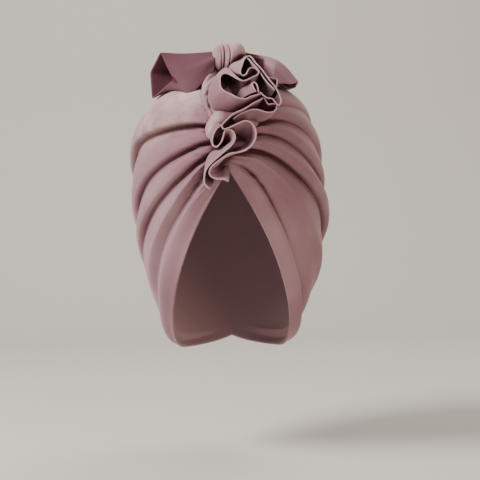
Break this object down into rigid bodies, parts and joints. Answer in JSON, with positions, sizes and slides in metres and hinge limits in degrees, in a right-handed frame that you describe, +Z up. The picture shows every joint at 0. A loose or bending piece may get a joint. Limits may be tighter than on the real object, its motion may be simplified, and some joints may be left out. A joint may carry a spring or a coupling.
{
  "type": "turban headwrap",
  "caption": "A stretch velvet turban in its worn form: a pleated hollow crown gathered at the forehead, with a wrapped front band, ruffles, a strap and a small bow on top.",
  "frame": {"origin": "the inside top of the crown, where a head bears on it", "axes": "+Z up, the face looks towards -Y, +X to the right in a view from the front"},
  "size_m": [0.1826, 0.2344, 0.2865],
  "materials": {
    "crown_velvet": "dusty mauve crushed stretch velvet, soft sheen",
    "trim_velvet": "dusty mauve stretch velvet, gathered",
    "ruffle_velvet": "dusty mauve stretch velvet with a cut edge"
  },
  "bodies": {
    "root": {"crown": "crown_velvet", "front_band": "trim_velvet", "centre_strap": "trim_velvet", "bow_knot": "trim_velvet", "bow_tail_left": "trim_velvet", "bow_tail_right": "trim_velvet", "lower_ruffle": "ruffle_velvet", "upper_ruffle": "ruffle_velvet"}
  },
  "joints": []
}
